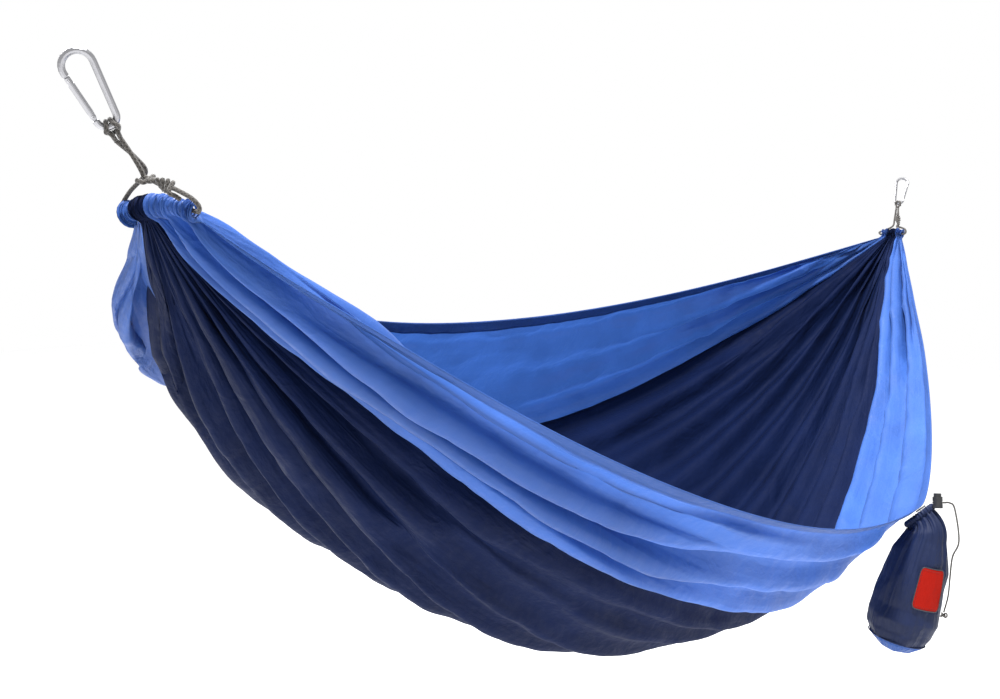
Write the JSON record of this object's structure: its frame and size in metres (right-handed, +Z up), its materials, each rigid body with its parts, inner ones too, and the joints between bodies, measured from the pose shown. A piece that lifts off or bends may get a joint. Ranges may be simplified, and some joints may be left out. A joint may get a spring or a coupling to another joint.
{
  "type": "camping hammock",
  "caption": "Camping hammock of three nylon panels gathered on rope loops, with snap carabiners and a cinched stuff sack on its hem.",
  "frame": {"origin": "where an anchor strap bears inside the head carabiner's crown, with the hammock hung between level anchors", "axes": "+X horizontally to the foot anchor, +Y to the back edge, away from the stuff sack, +Z up"},
  "size_m": [2.7868, 1.0952, 0.9629],
  "materials": {
    "side_nylon": "light crinkled ripstop-weight nylon, soft sheen",
    "centre_nylon": "light crinkled nylon, soft sheen",
    "sack_nylon": "light crinkled nylon, soft sheen",
    "rope": "braided nylon rope",
    "drawcord": "braided nylon cord",
    "label": "woven patch",
    "webbing": "woven webbing",
    "lock_plastic": "moulded, satin",
    "steel": "bright plated wire"
  },
  "bodies": {
    "hammock": {"centre_panel": "centre_nylon", "back_side_panel": "side_nylon", "front_side_panel": "side_nylon", "head_rope_channel": "side_nylon", "head_rope": "rope", "head_rope_knot": "rope", "foot_rope_channel": "side_nylon", "foot_rope": "rope", "foot_rope_knot": "rope"},
    "head_carabiner": {"head_carabiner": "steel", "head_hitch": "rope"},
    "head_gate": {"head_gate": "steel", "head_pivot_pin": "steel", "head_latch_pin": "steel", "head_gate_spring": "steel", "head_gate_plunger": "steel"},
    "foot_carabiner": {"foot_carabiner": "steel", "foot_hitch": "rope"},
    "foot_gate": {"foot_gate": "steel", "foot_pivot_pin": "steel", "foot_latch_pin": "steel", "foot_gate_spring": "steel", "foot_gate_plunger": "steel"},
    "stuff_sack": {"stuff_sack": "sack_nylon", "sack_base": "side_nylon", "sack_mouth_hem": "sack_nylon", "sack_tab": "webbing", "sack_label": "label", "mouth_drawcord": "drawcord", "drawcord_tail_front": "drawcord", "drawcord_tail_back": "drawcord", "drawcord_knot": "drawcord"},
    "cord_lock": {"cord_lock_barrel": "lock_plastic", "cord_lock_spring": "steel"},
    "cord_lock_button": {"cord_lock_button": "lock_plastic"}
  },
  "joints": [
    {"name": "head_swing", "type": "hinge", "parent": "hammock", "child": "head_carabiner", "pos_m": [0.05061, 0, -0.07503], "axis": [-0.6621, 0.6018, -0.4466], "range_deg": [-60, 60]},
    {"name": "head_gate_turn", "type": "hinge", "parent": "head_carabiner", "child": "head_gate", "pos_m": [0.02703, 0.0067, -0.05599], "axis": [-0.4989, -0.7986, -0.3365], "range_deg": [-26, 0], "stiffness_Nm_per_rad": 0.15, "springref_deg": 5.73},
    {"name": "foot_swing", "type": "hinge", "parent": "hammock", "child": "foot_carabiner", "pos_m": [2.72613, 0, -0.07915], "axis": [0.2264, -0.9659, -0.1255], "range_deg": [-60, 60]},
    {"name": "foot_gate_turn", "type": "hinge", "parent": "foot_carabiner", "child": "foot_gate", "pos_m": [2.74269, -0.01076, -0.05521], "axis": [0.8448, 0.2588, -0.4683], "range_deg": [-26, 0], "stiffness_Nm_per_rad": 0.15, "springref_deg": 5.73},
    {"name": "sack_swing", "type": "hinge", "parent": "hammock", "child": "stuff_sack", "pos_m": [1.39325, -0.45207, -0.64476], "axis": [1, 0, 0], "range_deg": [-60, 0]},
    {"name": "cord_lock_slide", "type": "slide", "parent": "stuff_sack", "child": "cord_lock", "axis": [0.2593, -0.9644, 0.0518], "range_m": [0, 0.007]},
    {"name": "cord_lock_press", "type": "slide", "parent": "cord_lock", "child": "cord_lock_button", "axis": [-0.1979, -0.1056, -0.9745], "range_m": [0, 0.004], "stiffness_N_per_m": 600, "springref_m": -0.002, "deforming": ["cord_lock_spring"]}
  ]
}
